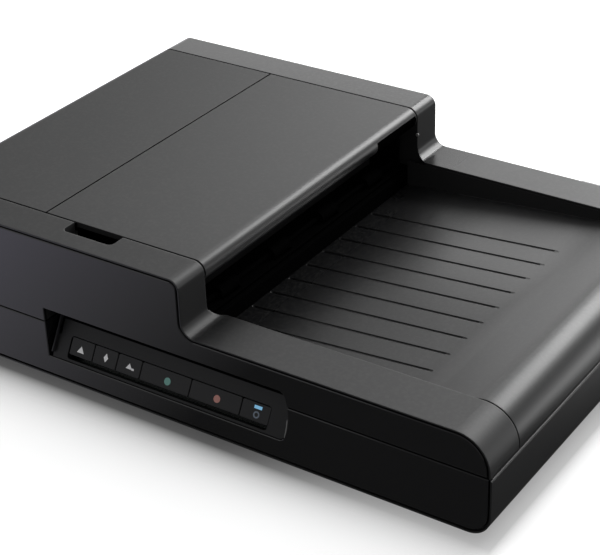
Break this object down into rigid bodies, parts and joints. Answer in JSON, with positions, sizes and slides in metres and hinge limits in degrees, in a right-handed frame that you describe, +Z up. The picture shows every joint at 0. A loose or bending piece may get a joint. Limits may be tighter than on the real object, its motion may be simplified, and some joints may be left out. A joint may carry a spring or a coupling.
{
  "type": "document scanner",
  "caption": "Flatbed document scanner with a sheet feeder and output tray in its hinged lid, and a leaning button panel in a recess at the front.",
  "frame": {"origin": "on the table under the middle of the machine's bounding box", "axes": "+X to the right seen from the front, +Y to the rear, +Z up; lid and covers closed"},
  "size_m": [0.469, 0.3364, 0.12],
  "materials": {
    "shell": "fine-grained satin plastic",
    "case": "fine-grained satin plastic",
    "fascia": "glossy plastic",
    "panel": "satin plastic",
    "button": "satin plastic",
    "frame": "matte plastic",
    "glass": "clear float glass",
    "sheet": "white satin sheet",
    "foam": "soft foam",
    "rubber": "soft rubber",
    "steel": "turned steel",
    "gear": "moulded acetal",
    "motor": "plated steel can",
    "board": "green circuit board",
    "socket": "black moulding"
  },
  "bodies": {
    "base": {"lower_case": "case", "front_panel": "fascia", "control_panel": "panel", "panel_board": "board", "platen_frame": "frame", "platen_glass": "glass", "rubber_feet": "rubber", "case_screws": "steel", "carriage_rod": "steel", "carriage_motor": "motor", "carriage_belt": "rubber", "main_board": "board", "usb_socket": "steel", "power_inlet": "socket", "hinge_brackets": "steel", "hinge_pins": "steel"},
    "scan_carriage": {"carriage": "frame", "carriage_lens": "glass"},
    "motor_pulley": {"motor_pulley": "gear"},
    "idler_pulley": {"idler_pulley": "gear"},
    "copy_button": {"copy_button": "button"},
    "mail_button": {"mail_button": "button"},
    "file_button": {"file_button": "button"},
    "start_button": {"start_button": "button"},
    "stop_button": {"stop_button": "button"},
    "power_button": {"power_button": "button"},
    "lid": {"hinge_leaves": "steel", "lid_pan": "frame", "backing_foam": "foam", "backing_sheet": "sheet", "top_shell": "shell", "lid_fascia": "fascia", "output_tray": "shell", "feeder_frame": "frame", "feeder_motor": "motor", "eject_belt": "rubber", "lower_sensor": "frame"},
    "feed_roller": {"feed_shaft": "steel", "feed_tyres": "rubber", "feed_gear": "gear"},
    "transport_roller": {"transport_shaft": "steel", "transport_tyres": "rubber", "transport_gear": "gear"},
    "eject_roller": {"eject_shaft": "steel", "eject_tyres": "rubber"},
    "feeder_idler": {"feeder_idler_gear": "gear"},
    "motor_pinion": {"motor_pinion": "gear"},
    "feeder_cover": {"feeder_cover": "shell", "upper_guide": "frame", "upper_sensor": "frame"},
    "retard_roller": {"retard_roller": "rubber"},
    "transport_pinch": {"transport_pinch": "gear"},
    "eject_pinch": {"eject_pinch": "gear"},
    "feed_tray": {"feed_tray": "shell", "tray_liner": "frame"},
    "tray_extension": {"tray_extension": "shell"},
    "guide_front": {"guide_front": "frame"},
    "guide_rear": {"guide_rear": "frame"},
    "guide_pinion": {"guide_pinion": "gear"}
  },
  "joints": [
    {"name": "carriage_slide", "type": "slide", "parent": "base", "child": "scan_carriage", "axis": [1, 0, 0], "range_m": [0, 0.312]},
    {"name": "motor_pulley_spin", "type": "hinge", "parent": "base", "child": "motor_pulley", "pos_m": [-0.205, 0.06075, 0.022], "axis": [0, 0, 1], "range_deg": [0, 2840]},
    {"name": "idler_pulley_spin", "type": "hinge", "parent": "base", "child": "idler_pulley", "pos_m": [0.18, 0.06075, 0.022], "axis": [0, 0, 1], "range_deg": [0, 2840]},
    {"name": "copy_press", "type": "slide", "parent": "base", "child": "copy_button", "axis": [0, 0.866, -0.5], "range_m": [0, 0.0008], "stiffness_N_per_m": 400, "springref_m": -0.0005},
    {"name": "mail_press", "type": "slide", "parent": "base", "child": "mail_button", "axis": [0, 0.866, -0.5], "range_m": [0, 0.0008], "stiffness_N_per_m": 400, "springref_m": -0.0005},
    {"name": "file_press", "type": "slide", "parent": "base", "child": "file_button", "axis": [0, 0.866, -0.5], "range_m": [0, 0.0008], "stiffness_N_per_m": 400, "springref_m": -0.0005},
    {"name": "start_press", "type": "slide", "parent": "base", "child": "start_button", "axis": [0, 0.866, -0.5], "range_m": [0, 0.0008], "stiffness_N_per_m": 400, "springref_m": -0.0005},
    {"name": "stop_press", "type": "slide", "parent": "base", "child": "stop_button", "axis": [0, 0.866, -0.5], "range_m": [0, 0.0008], "stiffness_N_per_m": 400, "springref_m": -0.0005},
    {"name": "power_press", "type": "slide", "parent": "base", "child": "power_button", "axis": [0, 0.866, -0.5], "range_m": [0, 0.0008], "stiffness_N_per_m": 400, "springref_m": -0.0005},
    {"name": "lid_hinge", "type": "hinge", "parent": "base", "child": "lid", "pos_m": [0, 0.16425, 0.0523], "axis": [-1, 0, 0], "range_deg": [0, 80]},
    {"name": "transport_roller_spin", "type": "hinge", "parent": "lid", "child": "transport_roller", "pos_m": [-0.06, -0.0046, 0.06796], "axis": [0, 1, 0], "continuous": true},
    {"name": "feed_roller_spin", "type": "hinge", "parent": "lid", "child": "feed_roller", "pos_m": [-0.105, -0.0046, 0.07018], "axis": [0, 1, 0], "continuous": true},
    {"name": "eject_roller_spin", "type": "hinge", "parent": "lid", "child": "eject_roller", "pos_m": [-0.01, -0.0046, 0.06417], "axis": [0, 1, 0], "continuous": true},
    {"name": "feeder_idler_spin", "type": "hinge", "parent": "lid", "child": "feeder_idler", "pos_m": [-0.08227, 0.13775, 0.07371], "axis": [0, 1, 0], "continuous": true},
    {"name": "motor_pinion_spin", "type": "hinge", "parent": "lid", "child": "motor_pinion", "pos_m": [-0.04614, 0.13775, 0.07596], "axis": [0, 1, 0], "continuous": true},
    {"name": "feeder_cover_hinge", "type": "hinge", "parent": "lid", "child": "feeder_cover", "pos_m": [0, -0.0046, 0.112], "axis": [0, 1, 0], "range_deg": [0, 70]},
    {"name": "retard_roller_spin", "type": "hinge", "parent": "feeder_cover", "child": "retard_roller", "pos_m": [-0.10265, -0.0046, 0.09044], "axis": [0, 1, 0], "continuous": true},
    {"name": "transport_pinch_spin", "type": "hinge", "parent": "feeder_cover", "child": "transport_pinch", "pos_m": [-0.05846, -0.0046, 0.08127], "axis": [0, 1, 0], "continuous": true},
    {"name": "eject_pinch_spin", "type": "hinge", "parent": "feeder_cover", "child": "eject_pinch", "pos_m": [-0.00869, -0.0046, 0.07549], "axis": [0, 1, 0], "continuous": true},
    {"name": "feed_tray_hinge", "type": "hinge", "parent": "lid", "child": "feed_tray", "pos_m": [-0.2265, -0.0046, 0.112], "axis": [0, -1, 0], "range_deg": [0, 142]},
    {"name": "tray_extension_slide", "type": "slide", "parent": "feed_tray", "child": "tray_extension", "axis": [1, 0, 0], "range_m": [0, 0.056]},
    {"name": "guide_front_slide", "type": "slide", "parent": "feed_tray", "child": "guide_front", "axis": [0, 1, 0], "range_m": [0, 0.08]},
    {"name": "guide_rear_slide", "type": "slide", "parent": "feed_tray", "child": "guide_rear", "axis": [0, -1, 0], "range_m": [0, 0.08]},
    {"name": "guide_pinion_spin", "type": "hinge", "parent": "feed_tray", "child": "guide_pinion", "pos_m": [-0.16, -0.0046, 0.1121], "axis": [0, 0, 1], "range_deg": [0, 576]}
  ],
  "couplings": [
    {"joint": "motor_pulley_spin", "follows": "carriage_slide", "rad_per_m": 158.73},
    {"joint": "idler_pulley_spin", "follows": "carriage_slide", "rad_per_m": 158.73},
    {"joint": "feed_roller_spin", "follows": "transport_roller_spin", "ratio": 1},
    {"joint": "feeder_idler_spin", "follows": "transport_roller_spin", "ratio": -0.76923},
    {"joint": "motor_pinion_spin", "follows": "transport_roller_spin", "ratio": -1.6667},
    {"joint": "eject_roller_spin", "follows": "transport_roller_spin", "ratio": 1.1667},
    {"joint": "retard_roller_spin", "follows": "transport_roller_spin", "ratio": -1.2222},
    {"joint": "transport_pinch_spin", "follows": "transport_roller_spin", "ratio": -1.6},
    {"joint": "eject_pinch_spin", "follows": "transport_roller_spin", "ratio": -1.4},
    {"joint": "guide_rear_slide", "follows": "guide_front_slide", "ratio": 1},
    {"joint": "guide_pinion_spin", "follows": "guide_front_slide", "rad_per_m": 125}
  ]
}
